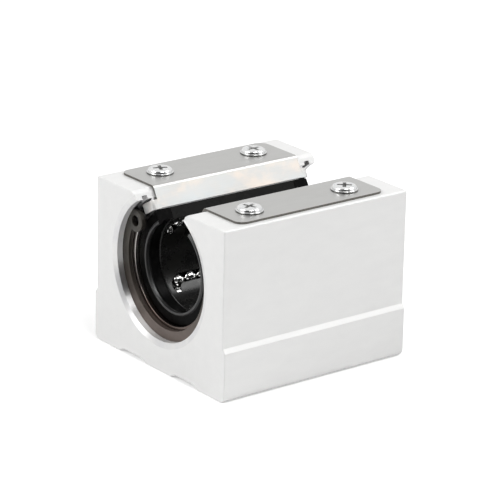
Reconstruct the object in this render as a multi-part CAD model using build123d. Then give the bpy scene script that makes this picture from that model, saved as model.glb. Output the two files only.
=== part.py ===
from build123d import *
import math
import os

os.makedirs("parts", exist_ok=True)

# Linear bearing block for a supported 20 mm shaft, in millimetres.
# The bore runs along X, the slot opens upwards (+Z) and the block stands on z = 0.
# The origin is the middle of the mounting face.

# Housing, an aluminium extrusion cut to length
block_length = 50.0
block_width = 48.0
axis_height = 23.0
ledge_height = 11.3
ledge_rise = 1.0
ledge_step = 0.75
foot_radius = 1.6
shoulder_radius = 0.5
relief_inner = 4.5
relief_gap = 0.4
relief_flank = 2.0
relief_depth = 0.85
mouth_chamfer_width = 1.3
mouth_chamfer_depth = 0.4
end_edge_break = 0.25
rail_edge_break = 0.7

# Mounting holes in the foot
mount_end_distance = 7.5
mount_side_distance = 6.5
mount_hole_radius = 2.5
mount_hole_depth = 12.0
mount_hole_countersink = 0.3
drill_point_angle = 118.0

# Shaft and slot
shaft_radius = 10.0
slot_half_angle = 30.0
slot_wall_clearance = 0.1

# Ball bushing, with angles measured at the bore axis from straight down
sleeve_wall = 2.8
bushing_recess = 4.0
sleeve_outer_break = 0.3
sleeve_inner_break = 0.1
ball_diameter = 3.175
least_ball_gap = 0.02
ball_running_clearance = 0.01
raceway_clearance = 0.015
track_clearance = 0.07
return_row_lift = 0.85
row_spacing_angle = 22.0
lower_row_angle = 52.0
upper_row_angle = 128.0
track_end_distance = 4.55
cage_wall_clearance = 0.1
cage_shaft_clearance = 0.45
cage_rim_radius = 0.35
cage_slot_offset = 0.25

# End seals and their spring rings
seal_length = 3.85
seal_gap = 0.1
seal_lip_clearance = 0.05
seal_lip_width = 0.5
seal_lip_height = 0.3
seal_shaft_clearance = 0.6
seal_undercut = 1.3
seal_shoulder = 0.15
seal_recess = 0.15
spring_ring_width = 0.8
spring_ring_length = 1.6
spring_ring_end_angle = 4.0
ring_fit = 0.05

# Circlips, each with one lug and a plain cut end, their angles measured from straight up
circlip_gap = 0.15
circlip_thickness = 1.2
circlip_groove_depth = 0.85
circlip_groove_clearance = 0.1
circlip_side_play = 0.05
circlip_width = 2.9
circlip_eccentricity = 0.15
circlip_lug_angle = 55.3
circlip_cut_angle = 40.0
circlip_lug_depth = 2.1
circlip_lug_radius = 2.55
circlip_hole_radius = 1.25

# Retaining plates, bent from sheet
sheet = 0.5
plate_margin = 1.45
plate_setback = 1.65
plate_corner_radius = 2.2
plate_bend_radius = 0.5
flange_overlap = 0.1
ear_bore_clearance = 0.6
ear_reach = 3.7
ear_bend_radius = 0.2
ear_seat_gap = 0.05

# Plate screws
screw_end_distance = 7.1
screw_shift = 0.68
screw_radius = 1.5
screw_reach = 5.0
screw_hole_spare = 1.0
screw_fit = 0.05
plate_hole_clearance = 0.2
screw_rim_radius = 3.05
screw_rim_height = 0.3
screw_head_radius = 2.75
screw_head_height = 1.1
screw_crown_radius = 0.7
recess_width = 0.75
recess_length = 3.2
recess_depth = 0.8
recess_taper = 12.0

# Sizes that follow from the ones above
half_length = block_length / 2
half_width = block_width / 2
upper_half_width = half_width - ledge_step
ball_radius = ball_diameter / 2
load_row_radius = shaft_radius + ball_running_clearance + ball_radius
return_row_radius = load_row_radius + return_row_lift
track_radius = ball_radius + track_clearance
raceway_radius = load_row_radius + ball_radius + raceway_clearance
bushing_radius = raceway_radius + sleeve_wall
plate_top = axis_height + bushing_radius
block_height = plate_top - sheet
mount_spacing_x = block_length - 2 * mount_end_distance
mount_spacing_y = block_width - 2 * mount_side_distance
relief_outer = mount_spacing_y / 2 - mount_hole_radius - relief_gap
cage_outer_radius = raceway_radius - cage_wall_clearance
cage_inner_radius = shaft_radius + cage_shaft_clearance
bushing_end = half_length - bushing_recess
seal_start = bushing_end - seal_length
cage_end = seal_start - seal_gap
track_half_straight = cage_end - track_end_distance
seal_front = bushing_end - seal_recess
seal_lip_radius = shaft_radius + seal_lip_clearance
seal_body_bore = shaft_radius + seal_shaft_clearance
seal_outer_radius = raceway_radius - ring_fit
spring_ring_inner = seal_outer_radius - seal_shoulder
spring_ring_outer = spring_ring_inner + spring_ring_width
plate_outer_edge = upper_half_width - plate_margin
flange_lower_end = raceway_radius + flange_overlap
ear_lower_end = raceway_radius
ear_upper_end = bushing_radius - ear_bore_clearance
ear_back = bushing_end + ear_seat_gap
ear_front = ear_back + sheet
plate_end = ear_front - plate_setback
plate_inner_edge = (plate_top - axis_height) * math.tan(math.radians(slot_half_angle))
screw_spacing_x = 2 * (plate_end - screw_end_distance)
screw_offset_y = (plate_inner_edge + plate_outer_edge) / 2 + screw_shift
circlip_back = ear_front + circlip_gap
circlip_front = circlip_back + circlip_thickness
spring_ring_back = circlip_back - spring_ring_length
circlip_outer_radius = bushing_radius + circlip_groove_depth - circlip_groove_clearance
circlip_lug_circle = bushing_radius - circlip_lug_depth
bore_axis = Axis((0, 0, axis_height), (1, 0, 0))
sin_slot = math.sin(math.radians(slot_half_angle))
cos_slot = math.cos(math.radians(slot_half_angle))
search_rounds = 40


def around_axis(points):
    """A ring about the bore: points are (place along the bore, radius)."""
    section = Polyline([(x, axis_height + r) for x, r in points], close=True)
    return revolve(Plane.XZ * make_face(section), bore_axis)


def slot_edge(offset, height):
    """Half width of the slot at a height, its wall set out from the radial plane by offset."""
    return (offset + (height - axis_height) * sin_slot) / cos_slot


def slot_wedge(offset):
    """The space between two slot walls, open at the top and through both ends."""
    top = plate_top + screw_head_height
    edge = slot_edge(offset, top)
    apex = axis_height - offset / sin_slot
    wedge = make_face(Polyline([(0, apex), (edge, top), (-edge, top)], close=True))
    return extrude(Plane.YZ * wedge, block_length, both=True)


def gap_wedge(half_angle):
    """The open sector above the bore axis, half_angle to each side of straight up."""
    top = axis_height + block_height
    side = block_height * math.tan(math.radians(half_angle))
    sector = make_face(Polyline([(0, axis_height), (side, top), (-side, top)], close=True))
    return extrude(Plane.YZ * sector, block_length, both=True)


def both_ends(piece):
    """A piece at the -X end and its mirror image at the +X end."""
    return piece, mirror(piece, Plane.YZ)


def both_sides(piece):
    """A piece on the +Y side and its mirror image on the -Y side."""
    return piece, mirror(piece, Plane.XZ)


def drilled_hole(radius, depth):
    """A drilled hole downwards from the origin, with its drill point."""
    point_depth = radius / math.tan(math.radians(drill_point_angle / 2))
    barrel = Cylinder(radius, depth, align=(Align.CENTER, Align.CENTER, Align.MAX))
    point = Cone(0.0, radius, point_depth, align=(Align.CENTER, Align.CENTER, Align.MAX))
    return barrel + Pos(0, 0, -depth) * point


def make_housing():
    half = [
        (relief_inner, 0),
        (relief_inner + relief_flank, relief_depth),
        (relief_outer - relief_flank, relief_depth),
        (relief_outer, 0),
        (half_width, 0),
        (half_width, ledge_height),
        (upper_half_width, ledge_height + ledge_rise),
        (upper_half_width, block_height),
    ]
    outline = make_face(Polyline(half + [(-y, z) for y, z in reversed(half)], close=True))
    feet = outline.vertices().group_by(Axis.Y)[0].group_by(lambda corner: abs(corner.X))[-1]
    outline = fillet(feet, foot_radius)
    shoulders = outline.vertices().group_by(Axis.Y)[-1]
    outline = fillet(shoulders, shoulder_radius)
    block = extrude(Plane.YZ * outline, half_length, both=True)
    ends = block.faces().sort_by(Axis.X)
    block = chamfer(ends[0].edges() + ends[-1].edges(), end_edge_break)
    block -= slot_wedge(sheet + slot_wall_clearance)
    top_edges = block.edges().filter_by(Axis.X).group_by(Axis.Z)[-1]
    slot_edges = top_edges.sort_by(lambda edge: abs(edge.center().Y))[:2]
    block = chamfer(slot_edges, rail_edge_break)
    block -= around_axis([(-half_length, 0), (half_length, 0),
                          (half_length, bushing_radius), (-half_length, bushing_radius)])

    mouth = around_axis([
        (-half_length, bushing_radius - mouth_chamfer_width),
        (-half_length, bushing_radius + mouth_chamfer_width),
        (-half_length + mouth_chamfer_depth, bushing_radius),
        (-half_length + mouth_chamfer_depth, bushing_radius - mouth_chamfer_width),
    ])
    groove = around_axis([
        (-circlip_front - circlip_side_play, bushing_radius - circlip_groove_depth),
        (-circlip_front - circlip_side_play, bushing_radius + circlip_groove_depth),
        (-circlip_back + circlip_side_play, bushing_radius + circlip_groove_depth),
        (-circlip_back + circlip_side_play, bushing_radius - circlip_groove_depth),
    ])
    for cut in both_ends(mouth) + both_ends(groove):
        block -= cut

    mount_hole = Rot(180, 0, 0) * (
        drilled_hole(mount_hole_radius, mount_hole_depth)
        + Cone(mount_hole_radius, mount_hole_radius + mount_hole_countersink, mount_hole_countersink,
               align=(Align.CENTER, Align.CENTER, Align.MAX))
    )
    block -= [spot * mount_hole for spot in GridLocations(mount_spacing_x, mount_spacing_y, 2, 2)]
    screw_hole = Pos(0, 0, block_height) * drilled_hole(screw_radius, screw_reach + screw_hole_spare)
    block -= [spot * screw_hole for spot in GridLocations(screw_spacing_x, 2 * screw_offset_y, 2, 2)]
    return block


def circuit_frame(load_angle):
    """Plane of a ball circuit: its x runs along the bore, its y from the load row to the return row.

    Angles are measured at the bore axis from straight down towards +Y.
    """
    return_angle = load_angle - row_spacing_angle
    load = Vector(0, load_row_radius * math.sin(math.radians(load_angle)),
                  axis_height - load_row_radius * math.cos(math.radians(load_angle)))
    back = Vector(0, return_row_radius * math.sin(math.radians(return_angle)),
                  axis_height - return_row_radius * math.cos(math.radians(return_angle)))
    across = back - load
    middle = (load + back) * 0.5
    frame = Plane(origin=middle, x_dir=(1, 0, 0), z_dir=Vector(1, 0, 0).cross(across))
    return frame, across.length / 2


def oval(turn_radius):
    """The closed line of a circuit: two straight rows joined by half circles."""
    half = track_half_straight
    return Wire([
        Line((-half, -turn_radius), (half, -turn_radius)),
        RadiusArc((half, -turn_radius), (half, turn_radius), -turn_radius),
        Line((half, turn_radius), (-half, turn_radius)),
        RadiusArc((-half, turn_radius), (-half, -turn_radius), -turn_radius),
    ])


def make_track(load_angle):
    """The tunnel that the balls of one circuit run through, and its trough, open towards the sleeve."""
    frame, turn_radius = circuit_frame(load_angle)
    row_start = frame.from_local_coords(Vector(0, -turn_radius, 0))
    ring = Plane(origin=row_start, z_dir=(1, 0, 0)) * Circle(track_radius)
    tunnel = sweep(ring, path=frame * oval(turn_radius))
    outside = SlotCenterToCenter(2 * track_half_straight, 2 * (turn_radius + track_radius))
    island = SlotCenterToCenter(2 * track_half_straight, 2 * (turn_radius - track_radius))
    outward = 1 if frame.z_dir.dot(frame.origin - Vector(0, 0, axis_height)) > 0 else -1
    trough = extrude(frame * (outside - island), outward * (bushing_radius - return_row_radius))
    return tunnel, trough


def place_on_oval(distance, turn_radius):
    """A point of the oval, by its distance along the line from the middle of the load row."""
    half = track_half_straight
    turn = math.pi * turn_radius
    loop = 4 * half + 2 * turn
    distance %= loop
    if distance <= half:
        return distance, -turn_radius
    if distance <= half + turn:
        angle = (distance - half) / turn_radius
        return half + turn_radius * math.sin(angle), -turn_radius * math.cos(angle)
    if distance <= 3 * half + turn:
        return 2 * half + turn - distance, turn_radius
    if distance <= 3 * half + 2 * turn:
        angle = (distance - 3 * half - turn) / turn_radius
        return -half - turn_radius * math.sin(angle), turn_radius * math.cos(angle)
    return distance - loop, -turn_radius


def bisect(low, high, too_small):
    for _ in range(search_rounds):
        middle = (low + high) / 2
        low, high = (middle, high) if too_small(middle) else (low, middle)
    return low


def ball_places(turn_radius):
    """Centres of as many balls as the circuit holds, each as far from the next."""
    loop = 4 * track_half_straight + 2 * math.pi * turn_radius

    def chord(start, end):
        return math.dist(place_on_oval(start, turn_radius), place_on_oval(end, turn_radius))

    def line_up(count, spacing):
        places = [0.0]
        for _ in range(count):
            last = places[-1]
            places.append(bisect(last, last + 2 * spacing, lambda place: chord(last, place) < spacing))
        return places

    count = int(loop / ball_diameter)
    while True:
        even = loop / count
        spacing = bisect(even / 2, even, lambda gap: line_up(count, gap)[-1] < loop)
        if spacing >= ball_diameter + least_ball_gap:
            return [place_on_oval(place, turn_radius) for place in line_up(count, spacing)[:-1]]
        count -= 1


def make_ball_circuit(load_angle):
    frame, turn_radius = circuit_frame(load_angle)
    balls = [frame * Pos(x, y, 0) * Sphere(ball_radius) for x, y in ball_places(turn_radius)]
    return Compound(children=balls)


def make_sleeve(tracks):
    counterbore = spring_ring_outer + ring_fit
    shell = around_axis([
        (-bushing_end, counterbore + sleeve_inner_break),
        (-bushing_end, bushing_radius - sleeve_outer_break),
        (-bushing_end + sleeve_outer_break, bushing_radius),
        (bushing_end - sleeve_outer_break, bushing_radius),
        (bushing_end, bushing_radius - sleeve_outer_break),
        (bushing_end, counterbore + sleeve_inner_break),
        (bushing_end - sleeve_inner_break, counterbore),
        (spring_ring_back, counterbore),
        (spring_ring_back, raceway_radius),
        (-spring_ring_back, raceway_radius),
        (-spring_ring_back, counterbore),
        (-bushing_end + sleeve_inner_break, counterbore),
    ])
    shell -= slot_wedge(sheet + slot_wall_clearance)
    for tunnel, _ in tracks:
        shell -= tunnel
    return shell


def make_cage(tracks):
    tube = around_axis([
        (-cage_end, cage_inner_radius),
        (cage_end, cage_inner_radius),
        (cage_end, cage_outer_radius),
        (-cage_end, cage_outer_radius),
    ])
    rims = tube.edges().filter_by(GeomType.CIRCLE).group_by(lambda edge: edge.radius)[0]
    tube = fillet(rims, cage_rim_radius)
    tube -= slot_wedge(cage_slot_offset)
    for tunnel, trough in tracks:
        tube -= tunnel
        tube -= trough
    return tube


def make_end_seal():
    """Rubber seal of the -X end, with a raised lip that wipes the shaft."""
    lip_crown = seal_lip_radius + seal_lip_width
    ring = around_axis([
        (-seal_start, seal_body_bore),
        (-seal_start, seal_outer_radius),
        (-spring_ring_back, seal_outer_radius),
        (-spring_ring_back, spring_ring_inner - ring_fit),
        (-seal_front, spring_ring_inner - ring_fit),
        (-seal_front, lip_crown + seal_lip_height),
        (-seal_front - seal_lip_height, lip_crown),
        (-seal_front - seal_lip_height, seal_lip_radius),
        (-seal_front + seal_lip_width, seal_lip_radius),
        (-seal_front + seal_undercut, seal_body_bore),
    ])
    return ring - slot_wedge(cage_slot_offset)


def make_spring_ring():
    """Steel ring of the -X end that holds the seal in the sleeve, against the circlip."""
    ring = around_axis([
        (-spring_ring_back, spring_ring_inner),
        (-spring_ring_back, spring_ring_outer),
        (-circlip_back, spring_ring_outer),
        (-circlip_back, spring_ring_inner),
    ])
    ear_corner_angle = math.degrees(math.atan2(ear_reach, ear_lower_end))
    return ring - gap_wedge(slot_half_angle + ear_corner_angle + spring_ring_end_angle)


def make_circlip():
    """Internal circlip of the -X end: an eccentric open ring with a pierced lug on the +Y side."""
    inner_radius = circlip_outer_radius - circlip_width
    ring = Circle(circlip_outer_radius) - Pos(0, circlip_eccentricity) * Circle(inner_radius)
    reach = circlip_outer_radius * 2
    lug_side = reach * math.tan(math.radians(circlip_lug_angle))
    cut_side = reach * math.tan(math.radians(circlip_cut_angle))
    ring -= make_face(Polyline([(0, 0), (lug_side, reach), (-cut_side, reach)], close=True))
    lug = Pos(circlip_lug_circle * math.sin(math.radians(circlip_lug_angle)),
              circlip_lug_circle * math.cos(math.radians(circlip_lug_angle)))
    ring += lug * Circle(circlip_lug_radius)
    ring -= lug * Circle(circlip_hole_radius)
    stamped = extrude(Plane.YZ * ring, circlip_thickness)
    return Pos(-circlip_front, 0, axis_height) * stamped


def make_retaining_plate():
    """Sheet plate of the +Y side: a flat on the rail, a flange down the slot wall and two ears."""
    inner_corner = slot_edge(sheet, block_height)

    def on_flange(along, offset):
        """A point by its distance from the bore axis along the slot plane, and outwards from it."""
        return along * sin_slot + offset * cos_slot, axis_height + along * cos_slot - offset * sin_slot

    section = make_face(Polyline([
        (plate_outer_edge, plate_top),
        (plate_inner_edge, plate_top),
        on_flange(flange_lower_end, 0),
        on_flange(flange_lower_end, sheet),
        (inner_corner, block_height),
        (plate_outer_edge, block_height),
    ], close=True))
    outer = section.vertices().sort_by_distance((plate_inner_edge, plate_top))[0]
    section = fillet(outer, plate_bend_radius + sheet)
    inner = section.vertices().sort_by_distance((inner_corner, block_height))[0]
    section = fillet(inner, plate_bend_radius)
    plate = extrude(Plane.YZ * section, plate_end, both=True)
    corners = plate.edges().filter_by(Axis.Z).group_by(Axis.Y)[-1]
    plate = fillet(corners, plate_corner_radius)

    # The ear in its own plane: x along the bore, y outwards from the slot
    ear_plane = Plane(
        origin=(0, *on_flange(ear_lower_end, 0)),
        x_dir=(1, 0, 0),
        z_dir=(0, sin_slot, cos_slot),
    )
    away = 1 if ear_plane.y_dir.Y > 0 else -1
    start = plate_end - sheet
    ear = make_face(Polyline([
        (start, 0),
        (ear_front, 0),
        (ear_front, away * ear_reach),
        (ear_back, away * ear_reach),
        (ear_back, away * sheet),
        (start, away * sheet),
    ], close=True))
    bend = ear.vertices().sort_by_distance((ear_front, 0))[0]
    ear = fillet(bend, ear_bend_radius + sheet)
    bend = ear.vertices().sort_by_distance((ear_back, away * sheet))[0]
    ear = fillet(bend, ear_bend_radius)
    tab = extrude(ear_plane * ear, ear_upper_end - ear_lower_end)
    for piece in both_ends(tab):
        plate += piece

    hole = Pos(0, screw_offset_y, block_height) * Cylinder(screw_radius + plate_hole_clearance, 4 * sheet)
    plate -= [spot * hole for spot in GridLocations(screw_spacing_x, 0, 2, 1)]
    return plate


def make_screw():
    """Pan-head screw with a rim and a cross recess, seated on the plate."""
    rim = Cylinder(screw_rim_radius, screw_rim_height, align=(Align.CENTER, Align.CENTER, Align.MIN))
    head = Cylinder(screw_head_radius, screw_head_height, align=(Align.CENTER, Align.CENTER, Align.MIN))
    head = fillet(head.edges().group_by(Axis.Z)[-1], screw_crown_radius)
    shank = Cylinder(screw_radius - screw_fit, screw_reach + sheet,
                     align=(Align.CENTER, Align.CENTER, Align.MAX))
    screw = rim + head + shank
    floor_shrink = 2 * recess_depth * math.tan(math.radians(recess_taper))
    recess_floor = Rectangle(recess_length - floor_shrink, recess_width)
    recess_mouth = Rectangle(recess_length, recess_width)
    blade = loft([Pos(0, 0, screw_head_height - recess_depth) * recess_floor,
                  Pos(0, 0, screw_head_height) * recess_mouth])
    screw -= blade
    screw -= Rot(0, 0, 90) * blade
    return Pos(0, 0, plate_top) * screw


def save(piece, node):
    export_step(piece, f"parts/{node}.step")


def main():
    save(make_housing(), "housing_block")

    rows = (("lower", lower_row_angle), ("upper", upper_row_angle))
    tracks = []
    for row, angle in rows:
        tunnel, trough = make_track(angle)
        tracks += zip(both_sides(tunnel), both_sides(trough))
        for side, balls in zip(("left", "right"), both_sides(make_ball_circuit(angle))):
            save(balls, f"ball_circuit_{row}_{side}")
    save(make_sleeve(tracks), "bearing_sleeve")
    save(make_cage(tracks), "ball_cage")

    rings = (("end_seal", make_end_seal()), ("spring_ring", make_spring_ring()), ("circlip", make_circlip()))
    for name, piece in rings:
        for end, copy in zip(("front", "rear"), both_ends(piece)):
            save(copy, f"{name}_{end}")

    for side, plate in zip(("left", "right"), both_sides(make_retaining_plate())):
        save(plate, f"retaining_plate_{side}")
    screws = [spot * make_screw() for spot in GridLocations(screw_spacing_x, 2 * screw_offset_y, 2, 2)]
    save(Compound(children=screws), "plate_screws")


main()
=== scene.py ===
import math

import bmesh
import bpy
from mathutils import Matrix, Vector
from mathutils.bvhtree import BVHTree


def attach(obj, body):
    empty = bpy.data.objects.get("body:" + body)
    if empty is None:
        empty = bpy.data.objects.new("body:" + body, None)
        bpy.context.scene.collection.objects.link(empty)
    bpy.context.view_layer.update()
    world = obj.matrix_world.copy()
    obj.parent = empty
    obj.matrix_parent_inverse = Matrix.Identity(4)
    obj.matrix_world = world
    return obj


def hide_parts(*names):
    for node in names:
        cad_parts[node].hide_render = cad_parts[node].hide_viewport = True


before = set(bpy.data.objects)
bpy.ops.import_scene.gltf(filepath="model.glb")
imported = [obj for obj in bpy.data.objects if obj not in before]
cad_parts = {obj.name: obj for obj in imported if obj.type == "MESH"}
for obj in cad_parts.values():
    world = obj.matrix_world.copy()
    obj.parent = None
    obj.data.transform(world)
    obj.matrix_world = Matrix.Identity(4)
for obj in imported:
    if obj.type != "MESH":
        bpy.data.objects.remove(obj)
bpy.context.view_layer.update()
print("frame loaded with", len(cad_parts), "nodes")

mm = 0.001
axisHeight = 23.0  # bore axis above the mounting face
scene = bpy.context.scene
scene.view_settings.view_transform = "Standard"

# Lengths in the dictionaries are in millimetres and angles in degrees.
# A piece's mesh is scaled to metres when it is made.

cameraPlace = {
    "azimuth": -37.955,
    "elevation": 19.221,
    "roll": 1.202,
    "distance": 613.733,
    "aimRight": -0.019,
    "aimUp": 3.224,
    "aimHeight": 19.5,
    "lens": 199.54,
    "sensor": 36,
    "clip": (0.01, 50),
}


def makeCamera(values):
    turn, tilt, roll = (math.radians(values[key]) for key in ("azimuth", "elevation", "roll"))
    back = Vector((math.sin(turn) * math.cos(tilt), -math.cos(turn) * math.cos(tilt), math.sin(tilt)))
    right = Vector((math.cos(turn), math.sin(turn), 0))
    up = back.cross(right)
    target = Vector((0, 0, values["aimHeight"])) + right * values["aimRight"] + up * values["aimUp"]
    place = (target + back * values["distance"]) * mm
    rolledRight = right * math.cos(roll) + up * math.sin(roll)
    rolledUp = up * math.cos(roll) - right * math.sin(roll)
    data = bpy.data.cameras.new("camera")
    data.lens = values["lens"]
    data.sensor_width = values["sensor"]
    data.clip_start, data.clip_end = values["clip"]
    camera = bpy.data.objects.new("camera", data)
    camera.matrix_world = Matrix.Translation(place) @ Matrix((rolledRight, rolledUp, back)).transposed().to_4x4()
    scene.collection.objects.link(camera)
    scene.camera = camera


makeCamera(cameraPlace)
print("camera placed")


# Small tools for meshes

def linkMesh(name, mesh):
    piece = bpy.data.objects.new(name, mesh)
    scene.collection.objects.link(piece)
    return piece


def newMesh(name, points, faces, edges=()):
    mesh = bpy.data.meshes.new(name)
    mesh.from_pydata([Vector(point) * mm for point in points], list(edges), list(faces))
    mesh.update()
    return linkMesh(name, mesh)


def edit(piece, work):
    shape = bmesh.new()
    shape.from_mesh(piece.data)
    work(shape)
    shape.to_mesh(piece.data)
    shape.free()
    piece.data.update()


def closeAndTurnOut(piece, distance=0.0005):
    def work(shape):
        bmesh.ops.remove_doubles(shape, verts=shape.verts, dist=distance * mm)
        bmesh.ops.recalc_face_normals(shape, faces=shape.faces)
    edit(piece, work)


packedMesh = {"mergeDistance": 0.0008, "flatAngle": 0.3}


def copyOfNode(node, name, mark=None):
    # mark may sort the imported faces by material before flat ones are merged
    piece = linkMesh(name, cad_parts[node].data.copy())
    piece.data.materials.clear()
    normals = piece.data.attributes.get("custom_normal")
    if normals:
        piece.data.attributes.remove(normals)

    def work(shape):
        bmesh.ops.remove_doubles(shape, verts=shape.verts, dist=packedMesh["mergeDistance"] * mm)
        if mark:
            mark(shape)
        bmesh.ops.dissolve_limit(shape, angle_limit=math.radians(packedMesh["flatAngle"]), verts=shape.verts,
                                 edges=shape.edges, delimit={"MATERIAL"})
    edit(piece, work)
    return piece


def addModifier(piece, kind, **settings):
    modifier = piece.modifiers.new(kind.lower(), kind)
    for key, value in settings.items():
        setattr(modifier, key, value)
    return modifier


def settle(piece):
    # turns live modifiers into a plain mesh
    bpy.context.view_layer.update()
    graph = bpy.context.evaluated_depsgraph_get()
    made = bpy.data.meshes.new_from_object(piece.evaluated_get(graph), preserve_all_data_layers=True,
                                           depsgraph=graph)
    piece.modifiers.clear()
    piece.data = made
    made.name = piece.name


def shade(piece, angle):
    piece.data.shade_smooth()
    piece.data.set_sharp_from_angle(angle=math.radians(angle))


def evenShading(piece):
    # flat faces keep their own normals beside narrow rounded edges
    addModifier(piece, "WEIGHTED_NORMAL", keep_sharp=True, weight=100)
    settle(piece)


def finishPiece(piece, slot, *nodes):
    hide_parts(*nodes)
    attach(piece, "root")


def roundCorners(corners, closed=False, before=None, after=None, steps=4):
    # corners are (point, radius); each becomes an arc that touches both its sides
    points = []
    for index, (corner, radius) in enumerate(corners):
        corner = Vector(corner)
        isFirst, isLast = index == 0, index + 1 == len(corners)
        last = Vector(before if isFirst and not closed else corners[index - 1][0])
        following = Vector(after if isLast and not closed else corners[(index + 1) % len(corners)][0])
        if radius <= 0:
            points.append(corner)
            continue
        toLast, toNext = (last - corner).normalized(), (following - corner).normalized()
        half = toLast.angle(toNext) / 2
        centre = corner + (toLast + toNext).normalized() * (radius / math.sin(half))
        start = (corner + toLast * (radius / math.tan(half)) - centre).normalized()
        end = (corner + toNext * (radius / math.tan(half)) - centre).normalized()
        points += [centre + start.slerp(end, step / steps) * radius for step in range(steps + 1)]
    return points


# Small tools for node trees

def addNode(tree, kind, **settings):
    node = tree.nodes.new(kind)
    for key, value in settings.items():
        setattr(node, key, value)
    return node


def wire(tree, *pairs):
    for source, target in pairs:
        tree.links.new(source, target)


def geometryTree(name, inputs):
    tree = bpy.data.node_groups.new(name, "GeometryNodeTree")
    tree.interface.new_socket("Geometry", in_out="INPUT", socket_type="NodeSocketGeometry")
    for label, kind in inputs:
        tree.interface.new_socket(label, in_out="INPUT", socket_type="NodeSocket" + kind)
    tree.interface.new_socket("Geometry", in_out="OUTPUT", socket_type="NodeSocketGeometry")
    return tree, addNode(tree, "NodeGroupInput").outputs, addNode(tree, "NodeGroupOutput").inputs


def runTree(piece, tree, values):
    modifier = piece.modifiers.new(tree.name, "NODES")
    modifier.node_group = tree
    for socket in tree.interface.items_tree:
        if socket.in_out == "INPUT" and socket.name in values:
            modifier[socket.identifier] = values[socket.name]
    settle(piece)


# Materials

def newMaterial(name, settings):
    material = bpy.data.materials.new(name)
    material.use_nodes = True
    tree = material.node_tree
    shader = tree.nodes["Principled BSDF"]
    for label, value in settings.items():
        shader.inputs[label].default_value = value
    coordinates = addNode(tree, "ShaderNodeTexCoord").outputs["Object"]
    return material, tree, shader, coordinates


def towardsFoot(tree, coordinates, low, high):
    # 1 at the height low and below, 0 at the height high and above
    apart = addNode(tree, "ShaderNodeSeparateXYZ")
    wire(tree, (coordinates, apart.inputs["Vector"]))
    return toRange(tree, apart.outputs["Z"], 1, 0, low * mm, high * mm)


def stretchedNoise(tree, coordinates, scale, detail=3.0, roughness=0.55):
    # scale is features per metre along X, Y and Z
    mapping = addNode(tree, "ShaderNodeMapping")
    mapping.inputs["Scale"].default_value = scale
    noise = addNode(tree, "ShaderNodeTexNoise")
    noise.inputs["Scale"].default_value = 1.0
    noise.inputs["Detail"].default_value = detail
    noise.inputs["Roughness"].default_value = roughness
    wire(tree, (coordinates, mapping.inputs["Vector"]), (mapping.outputs["Vector"], noise.inputs["Vector"]))
    return noise.outputs["Fac"]


def toRange(tree, value, low, high, fromLow=0.3, fromHigh=0.7):
    node = addNode(tree, "ShaderNodeMapRange")
    node.inputs["From Min"].default_value = fromLow
    node.inputs["From Max"].default_value = fromHigh
    node.inputs["To Min"].default_value = low
    node.inputs["To Max"].default_value = high
    wire(tree, (value, node.inputs["Value"]))
    return node.outputs["Result"]


def mixColour(tree, factor, first, second):
    node = addNode(tree, "ShaderNodeMix", data_type="RGBA")
    for socket, value in ((node.inputs[6], first), (node.inputs[7], second)):
        if isinstance(value, tuple):
            socket.default_value = (*value, 1)
        else:
            wire(tree, (value, socket))
    wire(tree, (factor, node.inputs[0]))
    return node.outputs[2]


def combine(tree, operation, first, second):
    node = addNode(tree, "ShaderNodeMath", operation=operation)
    for socket, value in zip(node.inputs, (first, second)):
        if isinstance(value, (int, float)):
            socket.default_value = value
        else:
            wire(tree, (value, socket))
    return node.outputs[0]


def bump(tree, shader, height, strength, depth):
    # depth in millimetres
    node = addNode(tree, "ShaderNodeBump")
    node.inputs["Strength"].default_value = strength
    node.inputs["Distance"].default_value = depth * mm
    wire(tree, (height, node.inputs["Height"]), (node.outputs["Normal"], shader.inputs["Normal"]))


def addTintPatches(tree, coordinates, colour, values):
    # cool in one place and warm in another, below the height of the bend
    tintPatches = stretchedNoise(tree, coordinates, *values["noise"])
    below = towardsFoot(tree, coordinates, *values["heights"])
    for amount, tint in (values["cool"], values["warm"]):
        share = combine(tree, "MULTIPLY", toRange(tree, tintPatches, *amount), below)
        colour = mixColour(tree, share, colour, tint)
    return colour


def makeFinish(name, values):
    # each noise has a scale, detail and roughness; colour, roughness and bump each follow one of them
    material, tree, shader, place = newMaterial(name, values["shader"])
    noises = {label: stretchedNoise(tree, place, *given) for label, given in values["noises"].items()}
    if "both" in values:
        halves = [combine(tree, "MULTIPLY", noises[label], 0.5) for label in values["both"]]
        noises["both"] = combine(tree, "ADD", *halves)
    label, dark, bright, *spread = values["colour"]
    colour = mixColour(tree, toRange(tree, noises[label], 0, 1, *spread), dark, bright)
    # a tint towards the bottom: painted light and shade by height
    if "foot" in values:
        low, high, tint = values["foot"]
        colour = mixColour(tree, towardsFoot(tree, place, low, high), colour, tint)
    if "tintPatches" in values:
        colour = addTintPatches(tree, place, colour, values["tintPatches"])
    label, low, high = values["roughness"]
    wire(tree, (colour, shader.inputs["Base Color"]),
         (toRange(tree, noises[label], low, high), shader.inputs["Roughness"]))
    if "bump" in values:
        label, strength, depth = values["bump"]
        bump(tree, shader, noises[label], strength, depth)
    if "tangent" in values:
        along = addNode(tree, "ShaderNodeCombineXYZ")
        for axis, length in zip("XYZ", values["tangent"]):
            along.inputs[axis].default_value = length
        wire(tree, (along.outputs["Vector"], shader.inputs["Tangent"]))
    return material


anodisedAluminium = {
    "shader": {"Metallic": 0.25},
    "noises": {"cloud": ((160, 420, 420), 4), "grain": ((7000, 7000, 7000), 2), "drawn": ((60, 5200, 5200), 3)},
    "both": ("drawn", "grain"),
    "colour": ("cloud", (0.792, 0.791, 0.785), (0.815, 0.814, 0.806)),
    "roughness": ("both", 0.42, 0.56),
    "bump": ("both", 0.1, 0.01),
}

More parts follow.
